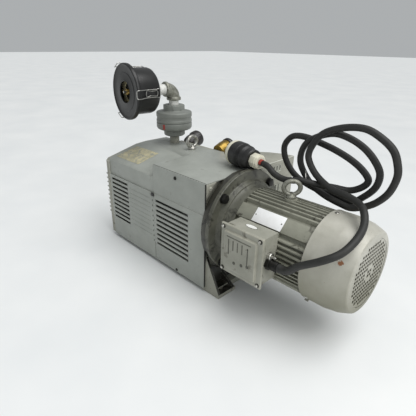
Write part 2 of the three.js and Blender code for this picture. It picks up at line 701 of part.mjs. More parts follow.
function tieRod() {
  const barFront = bowlStart + 3 + gap;
  const bar = block(-28, 28, -barFront - 4, -barFront, -5, 5);
  return join(bar, turnedOut(rod(3, barFront + 2, 147), 8));
}
add('tie_rod', tieRod(), steel, filter);

function wingNut() {
  const hub = turnedOut(ring(3 + gap, 7, 128, 139), 12);
  const wing = block(5, 19, -138.5, -134, -6, 6);
  const washer = turnedOut(ring(3 + gap, 24, 127 + gap, 129), 16);
  return join(hub, wing, wing.rotate([0, 180, 0]), washer);
}
add('wing_nut', wingNut(), brass, filter);

// Spring clip bent from one wire: two legs pivot on the bowl and a cross bar snaps over the lid.
function clip(angle) {
  const [foot, knee, crest, hook] = [
    [-9, -bowlStart - 11, bowlRadius + 4], [-9, -bowlStart - 38, bowlRadius + 5],
    [-10, -lidStart - 2, lidRadius + 3], [-8, -lidEnd - 2.5, lidRadius + 1],
  ];
  const mirrored = ([x, y, z]) => [-x, y, z];
  const route = [foot, knee, crest, hook, mirrored(hook), mirrored(crest), mirrored(knee), mirrored(foot)];
  return tubeAlong(spline(route, 0.2), 1.3, 5, 18).rotate([0, angle, 0]);
}
clipAngles.forEach((angle, i) => add(`filter_clip_${i + 1}`, clip(angle), steel, filter));

// ---------- roof lifting eye ----------
add('roof_lifting_eye', liftingEye(-232, 60, roofTop, -gap, Math.PI / 2), steel);

export default pump;
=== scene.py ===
# %% [markdown]
# # A rotary vane vacuum pump
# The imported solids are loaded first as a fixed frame. Every visible piece below is modelled at the place
# that the frame gives, in metres, and takes over from the plain solid of the same part.

# %% Load the frame
import math

import bpy
from mathutils import Matrix, Vector


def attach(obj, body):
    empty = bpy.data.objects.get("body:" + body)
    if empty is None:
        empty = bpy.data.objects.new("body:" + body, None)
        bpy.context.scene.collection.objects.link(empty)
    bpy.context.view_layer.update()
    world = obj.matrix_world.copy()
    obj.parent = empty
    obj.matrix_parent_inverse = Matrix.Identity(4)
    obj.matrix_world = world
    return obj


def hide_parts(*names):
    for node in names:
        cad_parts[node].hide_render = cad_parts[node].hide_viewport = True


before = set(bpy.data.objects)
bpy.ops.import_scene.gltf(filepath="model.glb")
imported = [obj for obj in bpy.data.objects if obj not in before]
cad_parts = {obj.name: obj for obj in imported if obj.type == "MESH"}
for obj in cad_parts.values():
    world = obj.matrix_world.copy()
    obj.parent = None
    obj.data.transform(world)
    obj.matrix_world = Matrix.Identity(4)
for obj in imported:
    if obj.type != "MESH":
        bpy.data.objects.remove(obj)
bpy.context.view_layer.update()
MM = 0.001
HOUSING = "housing"
SHAFT_HEIGHT = 158

# %% [markdown]
# ## Camera
# The camera stands above the motor's end and looks down at the machine. A rolled camera matrix is built
# from its three directions, which is clearer than three angles.

# %% Camera
YAW, RISE, ROLL = (math.radians(a) for a in (45.63, 24.0, 0.84))
back = Vector((math.sin(YAW) * math.cos(RISE), -math.cos(YAW) * math.cos(RISE), math.sin(RISE)))
level = (-back).cross(Vector((0, 0, 1))).normalized()
upright = level.cross(-back)
right = math.cos(ROLL) * level + math.sin(ROLL) * upright
up = -math.sin(ROLL) * level + math.cos(ROLL) * upright

lens = bpy.data.cameras.new("camera")
lens.sensor_width = 36
lens.lens = 32.054
camera = bpy.data.objects.new("camera", lens)
bpy.context.scene.collection.objects.link(camera)
camera.matrix_world = Matrix.Translation((0.49327, -0.58662, 0.52287)) @ Matrix(
    (right, up, back)).transposed().to_4x4()
bpy.context.scene.camera = camera
bpy.context.scene.view_settings.view_transform = "Standard"
print("camera looks along", [round(c, 3) for c in -back])

# %% [markdown]
# ## Materials: one helper
# Shader nodes are made by one small function: it adds a node, sets it and links it. Colours are written as
# the hex values that a colour picker shows, and one function turns them to the linear values Blender uses.

# %% Node and colour helpers
def linear(code):
    """A hex sRGB colour as linear values, with full alpha."""
    parts = [int(code[i:i + 2], 16) / 255 for i in (1, 3, 5)]
    return [p / 12.92 if p <= 0.04045 else ((p + 0.055) / 1.055) ** 2.4 for p in parts] + [1.0]


def node(tree, kind, settings=None, inputs=None):
    """Adds a node, gives it its settings, and fills or links its inputs."""
    made = tree.nodes.new(kind)
    for key, value in (settings or {}).items():
        setattr(made, key, value)
    for key, value in (inputs or {}).items():
        if isinstance(value, bpy.types.NodeSocket):
            tree.links.new(value, made.inputs[key])
        else:
            made.inputs[key].default_value = value
    return made


def material(name, **surface):
    """A new material, its tree, its principled shader and its object coordinates."""
    made = bpy.data.materials.new(name)
    made.use_nodes = True
    tree = made.node_tree
    shader = tree.nodes["Principled BSDF"]
    for key, value in surface.items():
        shader.inputs[key].default_value = value
    place = node(tree, "ShaderNodeTexCoord").outputs["Object"]
    return made, tree, shader, place


def ramp(tree, factor, stops):
    """A colour ramp from (position, hex) pairs."""
    made = node(tree, "ShaderNodeValToRGB", inputs={"Fac": factor})
    band = made.color_ramp
    while len(band.elements) < len(stops):
        band.elements.new(0.5)
    for element, (position, code) in zip(band.elements, stops):
        element.position = position
        element.color = linear(code)
    return made.outputs["Color"]


def noise(tree, place, size_mm, detail=3.0, roughness=0.55, distortion=0.0):
    """Noise whose blotches are about size_mm across."""
    settings = {"noise_dimensions": "3D"}
    inputs = {"Vector": place, "Scale": 1 / (size_mm * MM), "Detail": detail, "Roughness": roughness,
              "Distortion": distortion}
    return node(tree, "ShaderNodeTexNoise", settings, inputs).outputs["Fac"]


def bump(tree, shader, height, distance_mm, strength=1.0):
    """Raises the surface by a height map."""
    inputs = {"Height": height, "Distance": distance_mm * MM, "Strength": strength}
    tree.links.new(node(tree, "ShaderNodeBump", inputs=inputs).outputs["Normal"], shader.inputs["Normal"])


def blend_colour(tree, factor, first, second):
    """Mixes two colours by a factor."""
    made = node(tree, "ShaderNodeMix", {"data_type": "RGBA"}, {"Factor": factor})
    for index, value in ((6, first), (7, second)):
        if isinstance(value, bpy.types.NodeSocket):
            tree.links.new(value, made.inputs[index])
        else:
            made.inputs[index].default_value = value
    return made.outputs[2]


# %% [markdown]
# ## Paints
# Machine enamel is sprayed and dries with a fine orange peel. In a workshop it greys unevenly, gathers dark
# grime in blotches and is rubbed lighter in streaks. Castings show the sand's grain through the same paint.

# %% Painted metal
def enamel(name, stops, grime, roughness, peel_mm, peel_depth_mm, grime_from=0.62):
    """Workshop paint: a cloudy colour, dark grime in patches, small scuffs and a peel or sand grain."""
    made, tree, shader, place = material(name, Roughness=roughness, IOR=1.5)
    cloud = noise(tree, place, 45, 5.0, 0.6)
    colour = ramp(tree, cloud, stops)
    soot = noise(tree, place, 22, 8.0, 0.68, 0.6)
    soot_mask = ramp(tree, soot, [(grime_from, "#000000"), (grime_from + 0.12, "#ffffff")])
    with_grime = blend_colour(tree, soot_mask, colour, linear(grime))
    speck = noise(tree, place, 3.2, 2.0, 0.5)
    speck_mask = ramp(tree, speck, [(0.70, "#000000"), (0.74, "#8a8a8a")])
    with_specks = blend_colour(tree, speck_mask, with_grime, linear(grime))
    tree.links.new(with_specks, shader.inputs["Base Color"])
    rub = noise(tree, place, 12, 4.0, 0.6)
    low, high = roughness - 0.1, roughness + 0.14
    dull = node(tree, "ShaderNodeMapRange", inputs={"Value": rub, "To Min": low, "To Max": high})
    tree.links.new(dull.outputs["Result"], shader.inputs["Roughness"])
    bump(tree, shader, noise(tree, place, peel_mm, 2.0), peel_depth_mm)
    return made


# Stoved enamel on sheet steel: a smooth mid grey with a green tinge and a low shine.
sheet_enamel = enamel("stoved_enamel_sheet", [(0.3, "#93968f"), (0.7, "#a0a39c")], "#6f6f66", 0.42, 3, 0.05)
# The same enamel where corners have been rubbed thin and pale, and lighter still as a painted highlight on
# every rounded edge.
edge_wear_and_highlight_enamel = enamel("enamel_edge_wear_and_highlight", [(0.35, "#a9aba2"), (0.65, "#c9cac0")], "#86877e", 0.4, 2, 0.05)
# The same enamel brushed over cast iron: grainy, duller and dirtier.
cast_enamel = enamel("enamel_on_casting", [(0.3, "#8c8c80"), (0.7, "#a09f93")],
                     "#5a564a", 0.5, 2.2, 0.22, 0.58)
# Near-black paint laid on as painted shade: at the flange's seat, between the base's ribs and inside the
# cowl.
painted_shade_black = enamel("painted_shade_black_enamel", [(0.3, "#2b2a25"), (0.7, "#45443c")],
                     "#15140f", 0.35, 2.5, 0.15, 0.5)
# Olive grey enamel on the die-cast motor, with oily dust in its corners.
motor_enamel = enamel("enamel_on_motor", [(0.3, "#7d7d70"), (0.7, "#949486")],
                      "#45433a", 0.46, 2.2, 0.15, 0.56)
# The same paint on the end shield, darkened partly by years of oil mist and partly as painted shade.
shield_enamel_grime_and_shade = enamel("enamel_on_end_shield", [(0.3, "#47473d"), (0.7, "#66665b")],
                       "#2f2e27", 0.44, 2.4, 0.2, 0.52)
# Fin crests and corners of the motor, where hands and dust have paled the paint, lighter still as a painted
# highlight on every rounded edge.
motor_edge_wear_and_highlight_enamel = enamel("motor_edge_wear_and_highlight", [(0.35, "#8f8e80"), (0.65, "#aeac9e")], "#6b6858", 0.42, 2, 0.06)
# Grey paint on the iron check valve.
valve_enamel = enamel("enamel_on_valve", [(0.3, "#737671"), (0.7, "#838680")],
                      "#61625c", 0.48, 2.5, 0.1, 0.66)
# Black stoved enamel on the filter can: deep black with a soft shine and dust.
black_enamel = enamel("black_stoved_enamel", [(0.3, "#0d0d0d"), (0.7, "#171716")],
                      "#2a2a28", 0.34, 3, 0.04, 0.66)


# %% The cowl's paint, with a scuffed front and rust
def cowl_paint():
    """Silver grey paint on pressed steel: rubbed bright, darker towards the bottom as painted shade, chipped
    dark specks, rust bleeding at one dent.
    """
    made, tree, shader, place = material("silver_paint_pressed_steel", Roughness=0.4, IOR=1.5, Metallic=0.15)
    colour = ramp(tree, noise(tree, place, 50, 5.0, 0.6), [(0.3, "#a9a79b"), (0.7, "#c2c0b5")])
    # Painted shade: the colour darkens towards the bottom of the cowl.
    height = node(tree, "ShaderNodeSeparateXYZ", inputs={0: place}).outputs["Z"]
    low = node(tree, "ShaderNodeMapRange", inputs={"Value": height, "From Min": 0.2, "From Max": 0.08})
    shaded_towards_bottom = blend_colour(tree, low.outputs["Result"], colour, linear("#73715c"))
    chip = ramp(tree, noise(tree, place, 5, 6.0, 0.7), [(0.66, "#000000"), (0.71, "#ffffff")])
    chipped = blend_colour(tree, chip, shaded_towards_bottom, linear("#7d776a"))
    rust_at = Vector((277, -75, 201)) * MM
    away = node(tree, "ShaderNodeVectorMath", {"operation": "DISTANCE"}, {0: place, 1: rust_at})
    ragged = noise(tree, place, 6, 6.0, 0.7)
    reach = node(tree, "ShaderNodeMath", {"operation": "MULTIPLY_ADD"}, {0: ragged, 1: 0.02, 2: -0.006})
    inside = node(tree, "ShaderNodeMath", {"operation": "LESS_THAN"},
                  {0: away.outputs["Value"], 1: reach.outputs["Value"]})
    rusty = blend_colour(tree, inside.outputs["Value"], chipped, linear("#8a5f42"))
    tree.links.new(rusty, shader.inputs["Base Color"])
    bump(tree, shader, noise(tree, place, 4, 3.0), 0.12)
    return made


cowl_silver = cowl_paint()


# %% [markdown]
# ## Bare metals, rubber and plastic
# A metal's colour is its reflection, so only its tint, its roughness and the marks of its making differ.

# %% Metals
def bare_metal(name, stops, roughness, grain_mm, depth_mm, metallic=1.0):
    """Metal with a tint that varies and a grain from casting, rolling or plating."""
    made, tree, shader, place = material(name, Metallic=metallic, Roughness=roughness)
    tint = ramp(tree, noise(tree, place, grain_mm * 3, 5.0, 0.65), stops)
    tree.links.new(tint, shader.inputs["Base Color"])
    low, high = roughness - 0.1, roughness + 0.15
    dull = node(tree, "ShaderNodeMapRange",
                inputs={"Value": noise(tree, place, grain_mm * 2, 3.0), "To Min": low, "To Max": high})
    tree.links.new(dull.outputs["Result"], shader.inputs["Roughness"])
    bump(tree, shader, noise(tree, place, grain_mm, 2.0), depth_mm)
    return made


# Malleable iron dipped in zinc: a dull mottled grey.
zinc = bare_metal("galvanised_iron", [(0.35, "#77776c"), (0.65, "#a1a197")], 0.5, 3, 0.1, 0.75)
# Zinc plated forging, worn bright.
plated = bare_metal("zinc_plated_steel", [(0.35, "#8d8b84"), (0.65, "#c9c8c2")], 0.36, 3, 0.06)
# Drawn steel wire and turned steel.
steel = bare_metal("turned_steel", [(0.35, "#9b9a96"), (0.65, "#bfbeba")], 0.3, 2, 0.02)
# Cast iron as it leaves the sand.
iron = bare_metal("sand_cast_iron", [(0.35, "#3c3b39"), (0.65, "#535250")], 0.65, 2.5, 0.2, 0.8)
# Brass, turned or pressed, dulled by handling.
brass = bare_metal("dulled_brass", [(0.3, "#75602c"), (0.7, "#b09350")], 0.36, 4, 0.03)
# Blackened bolts: black oxide over steel, oily.
black_oxide = bare_metal("black_oxide_steel", [(0.3, "#161615"), (0.7, "#2b2a27")], 0.42, 3, 0.06, 0.6)
# Varnished copper winding.
copper = bare_metal("varnished_copper", [(0.3, "#6e3a20"), (0.7, "#9a5a34")], 0.4, 2, 0.1)
# Anodised aluminium name plate, brushed nearly white.
plate_aluminium = bare_metal("anodised_aluminium", [(0.3, "#f4f4f2"), (0.7, "#ffffff")], 0.4, 6, 0.01, 0.1)


# %% Rubber, plastic and paper
def moulded(name, stops, roughness, grain_mm, depth_mm, ior=1.5):
    """Plastic or rubber out of a mould, with its texture and a little bloom."""
    made, tree, shader, place = material(name, Roughness=roughness, IOR=ior)
    tree.links.new(ramp(tree, noise(tree, place, grain_mm * 8, 5.0, 0.6), stops), shader.inputs["Base Color"])
    low, high = roughness - 0.08, roughness + 0.1
    dull = node(tree, "ShaderNodeMapRange",
                inputs={"Value": noise(tree, place, grain_mm * 5, 4.0), "To Min": low, "To Max": high})
    tree.links.new(dull.outputs["Result"], shader.inputs["Roughness"])
    bump(tree, shader, noise(tree, place, grain_mm, 2.0), depth_mm)
    return made


# Chlorinated rubber sheath, extruded and dusty: dark grey, nearly matt.
rubber = moulded("extruded_rubber", [(0.3, "#1b1b19"), (0.7, "#272724")], 0.58, 1.5, 0.06, 1.52)
# Nylon plug shell, black and slightly shiny.
nylon = moulded("black_nylon", [(0.3, "#161616"), (0.7, "#222221")], 0.42, 1.2, 0.05, 1.53)
# Phenolic knobs, dark brown-black.
phenolic = moulded("black_phenolic", [(0.3, "#1a1817"), (0.7, "#292523")], 0.38, 1.5, 0.04, 1.6)
# Cream nylon of the plug's nut and face.
cream = moulded("cream_nylon", [(0.3, "#d5d1bb"), (0.7, "#e6e3d2")], 0.45, 2, 0.03, 1.53)
# Unsintered thread tape: soft white.
tape = moulded("ptfe_thread_tape", [(0.3, "#d9d9d3"), (0.7, "#f2f2ee")], 0.55, 1.5, 0.15, 1.35)
# Paper filter cartridge and carbon vanes.
paper = moulded("pleated_filter_paper", [(0.3, "#bfb48e"), (0.7, "#d6cda9")], 0.9, 1, 0.1, 1.5)
carbon = moulded("carbon_composite", [(0.3, "#242424"), (0.7, "#323232")], 0.55, 1, 0.05, 1.5)
red_dye = moulded("red_sealing_paint", [(0.3, "#8f2a22"), (0.7, "#b33d31")], 0.5, 2, 0.05)


# %% A worn blank label
def worn_label():
    """Varnished paper sticker, yellowed, rubbed through to grey and freckled with grime."""
    made, tree, shader, place = material("worn_paper_label", Roughness=0.5, IOR=1.45)
    yellow = ramp(tree, noise(tree, place, 20, 4.0), [(0.35, "#a5a084"), (0.65, "#c2ba98")])
    worn = ramp(tree, noise(tree, place, 9, 8.0, 0.7), [(0.50, "#000000"), (0.60, "#ffffff")])
    colour = blend_colour(tree, worn, yellow, linear("#8f9087"))
    dirt = ramp(tree, noise(tree, place, 4, 6.0, 0.7), [(0.64, "#000000"), (0.68, "#ffffff")])
    tree.links.new(blend_colour(tree, dirt, colour, linear("#6d5b45")), shader.inputs["Base Color"])
    bump(tree, shader, noise(tree, place, 3, 2.0), 0.03)
    return made


label_paper = worn_label()
print("materials:", len(bpy.data.materials))

# %% [markdown]
# ## Modelling helpers
# Operators act on whatever is selected, so each piece starts by deselecting everything. Faces are then picked
# in code by where they are or which way they face.

# %% Starting, picking and finishing
def clear():
    """Deselects every object."""
    bpy.ops.object.select_all(action="DESELECT")


def take(piece):
    """Makes one piece the only selected and active object."""
    clear()
    piece.select_set(True)
    bpy.context.view_layer.objects.active = piece


def own(name):
    """Names the object that an operator has just added."""
    piece = bpy.context.object
    piece.name = name
    piece.data.name = name
    return piece


def pick_faces(piece, test):
    """Enters edit mode with only those faces selected whose middle and normal pass the test."""
    take(piece)
    mesh = piece.data
    for part in (mesh.vertices, mesh.edges, mesh.polygons):
        part.foreach_set("select", [False] * len(part))
    for face in mesh.polygons:
        face.select = test(face.center, face.normal)
    bpy.context.tool_settings.mesh_select_mode = (False, False, True)
    bpy.ops.object.mode_set(mode="EDIT")


def settle(piece, place=None):
    """Puts a piece's place into its mesh, so that its object sits unturned at the origin."""
    take(piece)
    if place is not None:
        piece.matrix_world = place @ piece.matrix_world
    bpy.ops.object.transform_apply(location=True, rotation=True, scale=True)
    return piece


def modify(piece, kind, **settings):
    """Adds a modifier and applies it."""
    take(piece)
    step = piece.modifiers.new("step", kind)
    for key, value in settings.items():
        setattr(step, key, value)
    bpy.ops.object.modifier_apply(modifier="step")
    return piece


def bevelled(piece, width_mm, segments=2, angle=32, slot=-1):
    """Rounds the edges that turn sharper than an angle, the new faces in a material slot of their own."""
    return modify(piece, "BEVEL", width=width_mm * MM, segments=segments, limit_method="ANGLE",
                  angle_limit=math.radians(angle), use_clamp_overlap=True, material=slot)


def finished(piece, finish, nodes=(), body=HOUSING, smooth=35):
    """Gives a piece its material, its body and the solids that it takes over from."""
    take(piece)
    bpy.ops.object.shade_smooth_by_angle(angle=math.radians(smooth))
    if finish:
        piece.data.materials.clear()
        piece.data.materials.append(finish)
    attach(piece, body)
    if nodes:
        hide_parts(*nodes)
    return piece


def joined(first, *others):
    """Makes several pieces one object, each shell keeping its faces."""
    take(first)
    for piece in others:
        piece.select_set(True)
    bpy.ops.object.join()
    return first


# %% Basic shapes
def block(name, low, high, round_mm=0.6, segments=2):
    """A box between two corners in millimetres, its edges rounded."""
    low, high = Vector(low) * MM, Vector(high) * MM
    clear()
    bpy.ops.mesh.primitive_cube_add(size=1, location=(low + high) / 2)
    piece = own(name)
    piece.scale = high - low
    settle(piece)
    return bevelled(piece, round_mm, segments) if round_mm else piece


def facing(origin_mm, direction, upward=(0, 0, 1)):
    """The place whose Z runs along a direction."""
    z = Vector(direction).normalized()
    x = Vector(upward).cross(z).normalized()
    turn = Matrix((x, z.cross(x), z)).transposed().to_4x4()
    return Matrix.Translation(Vector(origin_mm) * MM) @ turn


def turned(name, profile, place, sides=64, angle=360, start=0.0, round_mm=0.0, bend=30):
    """A profile of (radius, distance) in millimetres, spun about the Z of a place."""
    clear()
    bpy.context.tool_settings.mesh_select_mode = (True, False, False)
    bpy.ops.mesh.primitive_plane_add(size=0.01)
    piece = own(name)
    bpy.ops.object.mode_set(mode="EDIT")
    bpy.ops.mesh.select_all(action="SELECT")
    bpy.ops.mesh.merge(type="CENTER")
    here = Vector((0, 0, 0))
    for index, (radius, along) in enumerate(profile):
        there = Vector((radius * math.cos(start), radius * math.sin(start), along)) * MM
        if index == 0:
            bpy.ops.transform.translate(value=there - here)
        else:
            bpy.ops.mesh.extrude_region_move(TRANSFORM_OT_translate={"value": there - here})
        here = there
    bpy.ops.mesh.select_all(action="SELECT")
    bpy.ops.mesh.spin(steps=sides, angle=math.radians(angle), center=(0, 0, 0), axis=(0, 0, 1))
    bpy.ops.mesh.select_all(action="SELECT")
    bpy.ops.mesh.remove_doubles(threshold=0.000002)
    bpy.ops.mesh.normals_make_consistent(inside=False)
    bpy.ops.object.mode_set(mode="OBJECT")
    if round_mm:
        bevelled(piece, round_mm, 2, bend)
    return settle(piece, place)


def ring(inner, outer, near, far):
    """The closed profile of a ring."""
    return [(inner, near), (outer, near), (outer, far), (inner, far), (inner, near)]


def rod(radius, near, far):
    """The profile of a solid rod."""
    return [(0, near), (radius, near), (radius, far), (0, far)]


def wire(name, points_mm, radius_mm, sides=4, closed=False, steps=6, swell=None):
    """A bent wire or pipe: a smooth curve through points, made into a mesh."""
    clear()
    curve = bpy.data.curves.new(name, "CURVE")
    curve.dimensions = "3D"
    curve.bevel_depth = radius_mm * MM
    curve.bevel_resolution = sides
    curve.resolution_u = steps
    curve.use_fill_caps = True
    thread(curve, points_mm, closed)
    for point, size in zip(curve.splines[0].bezier_points, swell or []):
        point.radius = size
    piece = bpy.data.objects.new(name, curve)
    bpy.context.scene.collection.objects.link(piece)
    take(piece)
    bpy.ops.object.convert(target="MESH")
    return bpy.context.object


def thread(curve, points_mm, closed=False):
    """Lays a Bezier spline through points, its handles a third of the way along each point's direction."""
    points = [Vector(p) * MM for p in points_mm]
    line = curve.splines.new("BEZIER")
    line.bezier_points.add(len(points) - 1)
    line.use_cyclic_u = closed
    count = len(points)
    for i, point in enumerate(points):
        before = points[i - 1] if i or closed else 2 * points[0] - points[1]
        after = points[(i + 1) % count] if i < count - 1 or closed else 2 * points[-1] - points[-2]
        lean = (after - before) / 6
        knot = line.bezier_points[i]
        knot.handle_left_type = knot.handle_right_type = "FREE"
        knot.co, knot.handle_left, knot.handle_right = point, point - lean, point + lean
    return line


def softened(node_name, width_mm, finish, cutters=(), body=HOUSING, segments=2, worn=None, dark=None):
    """Copies a solid, merges its triangles into plain faces, cuts it if asked and rounds its edges.

    The rounded edges take the worn finish, pale from wear and lighter as a painted highlight, and faces that
    pass the dark test take the near-black painted shade."""
    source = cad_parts[node_name]
    piece = bpy.data.objects.new(node_name + "_shown", source.data.copy())
    bpy.context.scene.collection.objects.link(piece)
    take(piece)
    bpy.ops.object.mode_set(mode="EDIT")
    bpy.ops.mesh.select_all(action="SELECT")
    bpy.ops.mesh.remove_doubles(threshold=0.00001)
    bpy.ops.mesh.dissolve_limited(angle_limit=math.radians(1.5))
    bpy.ops.object.mode_set(mode="OBJECT")
    for cutter in cutters:
        modify(piece, "BOOLEAN", operation="DIFFERENCE", object=cutter, solver="EXACT")
        bpy.data.objects.remove(cutter)
    piece.data.materials.clear()
    for used in (finish, worn or finish, painted_shade_black):
        piece.data.materials.append(used)
    for face in piece.data.polygons:
        face.material_index = 2 if dark and dark(face.center, face.normal) else 0
    bevelled(piece, width_mm, segments, slot=1 if worn else -1)
    return finished(piece, None, [node_name], body)


def row_of(first, offset_mm, count):
    """Repeats a piece along an offset, in one object."""
    return modify(first, "ARRAY", count=count, use_relative_offset=False, use_constant_offset=True,
                  constant_offset_displace=Vector(offset_mm) * MM)


# %% [markdown]
# ## The power cord
# A heavy rubber cord leaves the gland, climbs round the cowl, stands in three loops above the motor and ends
# in a plug lying on the housing. One smooth curve through chosen points keeps its length and its bends true.

# %% Cord route
PLUG_AXIS = Vector((-0.975, 0.222, 0)).normalized()
PLUG_AT = Vector((27, 24, 291.8))
CORD_RADIUS = 6.5
PLUG_BLADES = 4
cord_entry = PLUG_AT - 0.3 * PLUG_AXIS
cord_route = [
    (184, -108, 161), (195, -108, 161.4), (206, -109.5, 167), (224, -112, 185), (262, -110, 212),
    (283, -90, 227), (290, -60, 243), (285, -28, 255), (271, -4, 269), (251, 14, 273), (226, 22, 276),
    (191, 30, 277), (152, 42, 290), (129, 47, 312), (124, 50, 331), (136, 52, 358), (154, 53, 375),
    (189, 54, 388), (224, 55, 391), (253, 56, 380), (276, 57, 363), (287, 58, 341), (291, 58, 319),
    (284, 58, 290), (269, 57, 268), (250, 56, 253), (225, 55, 242), (204, 55, 243), (167, 56, 250),
    (135, 58, 263), (114, 60, 281), (100, 62, 302), (99, 64, 325), (110, 65, 346), (135, 66, 362),
    (165, 67, 371), (196, 68, 366), (224, 69, 353), (246, 69, 334), (258, 70, 313), (255, 70, 288),
    (238, 70, 265), (216, 70, 248), (183, 71, 251), (142, 73, 250), (93, 76, 261), (64, 79, 279),
    (48, 80, 303), (46, 81, 326), (63, 81, 346), (93, 81, 350), (130, 81, 344), (165, 80, 336),
    (198, 80, 324), (223, 79, 310), (237, 78, 294), (228, 75, 279), (208, 69, 269), (184, 54, 272),
    (155, 40, 274), (131, 24, 279), (112, 21, 275), (92, 19, 273), (70, 17, 279), (53, 18.1, 289.5),
    (40, 21, 291.8), tuple(cord_entry),
]

# %% The cord itself
cord_curve = bpy.data.curves.new("power_cord", "CURVE")
cord_curve.dimensions = "3D"
cord_curve.bevel_depth = CORD_RADIUS * MM
cord_curve.bevel_resolution = 6
cord_curve.resolution_u = 8
cord_curve.use_fill_caps = True
cord_line = thread(cord_curve, cord_route)
cord_curve.materials.append(rubber)
cord = bpy.data.objects.new("power_cord", cord_curve)
bpy.context.scene.collection.objects.link(cord)
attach(cord, HOUSING)
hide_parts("cord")

sleeve = wire("cord_sleeve", cord_route[:4], CORD_RADIUS, 5, steps=8, swell=[1.3, 1.22, 1.12, 1.02])
finished(sleeve, rubber)

# %% [markdown]
# ## Plug
# A four-blade twist plug: a cream nut grips the cord, a black shell flares out to a flange, and curved brass
# blades stand in a cream face. Each round part is a profile spun about the plug's axis.

# %% Plug parts
plug_place = facing(PLUG_AT, PLUG_AXIS)
collar = turned("plug_nut", ring(6.9, 15, 0.2, 5), plug_place, 8, round_mm=0.8)
band_profile = [(6.9, 4), (16.6, 4), (17, 6), (17, 20), (16, 22.6), (6.9, 22.6), (6.9, 4)]
nut_band = turned("plug_nut_band", band_profile, plug_place, 8, round_mm=0.8)
finished(joined(collar, nut_band), cream, ["plug_collar"])

shell_profile = [(7, 23), (20, 23), (22, 25.5), (22.3, 30), (22.3, 40), (25.6, 45.5)]
for groove in range(6):
    along = 46 + groove * 2.5
    radius = 26.0 + groove * 0.16
    floor_radius = radius - 0.8
    shell_profile += [(radius, along), (radius, along + 1.5), (floor_radius, along + 1.8),
                      (floor_radius, along + 2.3)]
shell_profile += [(27.2, 61.5), (28.3, 63.5), (28.4, 66), (28.4, 84), (27.8, 85), (26, 85), (26, 60), (7, 58),
                  (7, 23)]
shell = turned("plug_shell", shell_profile, plug_place, 96)
finished(shell, nylon, ["plug_body"], smooth=30)

face_profile = [(0, 80), (25.9, 80), (25.9, 85.4), (28, 85.4), (28.4, 86.4), (28.4, 94), (27.4, 96),
                (25.5, 96.8), (0, 96.8)]
face = turned("plug_face", face_profile, plug_place, 64)
finished(face, cream, ["plug_insert"])
BLADE_SPREAD = 52
for index in range(PLUG_BLADES):
    start = 45 + 360 / PLUG_BLADES * index - BLADE_SPREAD / 2
    blade = turned(f"plug_blade_{index + 1}", [(16, 95), (16, 116)], plug_place, 12, BLADE_SPREAD,
                   math.radians(start))
    modify(blade, "SOLIDIFY", thickness=2 * MM, offset=0)
    finished(bevelled(blade, 0.4), brass)
seal = turned("cord_marker", [(7.2, -8), (7.2, -1)], plug_place, 12, 130, math.radians(120))
modify(seal, "SOLIDIFY", thickness=0.8 * MM, offset=0)
finished(seal, red_dye)

# %% [markdown]
# ## Housing
# The hood and panels are folded sheet. Their solids already have the right outline, so each is copied, its
# louvres are cut to their full height and every edge is rounded a little to catch the light.

# %% Louvre cutters
LOUVRE = 6.4


def louvre_cutter(x0, x1, bottom, top, count, y0, y1, height=LOUVRE):
    """A row of boxes that cuts louvres at even heights."""
    first = block("cutter", (x0, y0, bottom - height / 2), (x1, y1, bottom + height / 2), 0)
    return row_of(first, (0, 0, (top - bottom) / (count - 1)), count)


left_cutters = [
    louvre_cutter(-380, -303, 69, 181, 10, -105, -100),
    louvre_cutter(-197, -193.8, 62, 172, 9, -105, -100, 5),
    louvre_cutter(-293, -204, 75.5, 175, 9, -105, -102.6, 1.4),
]
left_cutters.append(block("cutter", (-192.2, -105, 8), (-190, -102, 58), 0))
softened("left_panel", 0.8, sheet_enamel, left_cutters, worn=edge_wear_and_highlight_enamel)
near_cutter = louvre_cutter(-183, -64, 59, 175, 10, -105, -98)
softened("right_panel", 0.9, sheet_enamel, [near_cutter], worn=edge_wear_and_highlight_enamel)
far_cutter = louvre_cutter(-183, -64, 59, 175, 10, 98, 105)
softened("far_panel", 0.8, sheet_enamel, [far_cutter], worn=edge_wear_and_highlight_enamel)
softened("roof_hood", 0.9, sheet_enamel, worn=edge_wear_and_highlight_enamel)
softened("end_grille", 0.8, cast_enamel, worn=edge_wear_and_highlight_enamel)
softened("outlet_housing", 1.2, cast_enamel, worn=edge_wear_and_highlight_enamel)


def takes_painted_shade(middle, normal):
    """Whether a face of the end casting is painted near-black as shade: at the seat, and between the feet's
    ribs.
    """
    reach = math.hypot(middle.y, middle.z - SHAFT_HEIGHT * MM)
    near_seat = 0.08 < reach < 0.126 and middle.x > -0.03
    in_front = middle.x > -0.011 and abs(normal.x) < 0.99
    between_ribs = in_front and 0.04 < abs(middle.y) < 0.095 and middle.z < 0.09
    return near_seat or between_ribs


softened("base_frame", 1.2, cast_enamel, worn=edge_wear_and_highlight_enamel, dark=takes_painted_shade)

print("louvre height", LOUVRE, "mm")

# %% Seals and a dark lining
# Foam strips show as dark lines where the side cover meets the roof and the end casting.
for name, low, high in (
    ("roof_seal", (-188, -100, 258), (-12, -98.5, 263.35)),
    ("edge_seal", (-11.8, -102.4, 14), (-10.4, -99, 262)),
):
    finished(block(name, low, high, 0.2, 1), rubber)
# A black gauze hangs behind the outlet slots.
finished(block("outlet_gauze", (-21, 124, 100), (-19.5, 164, 254), 0.3, 1), rubber)

# %% [markdown]
# ## Screws
# Every cover is held by the same few screws: a domed head with a slot, and a hexagon bolt on a washer. One
# maker for each kind sets it at a place and size.

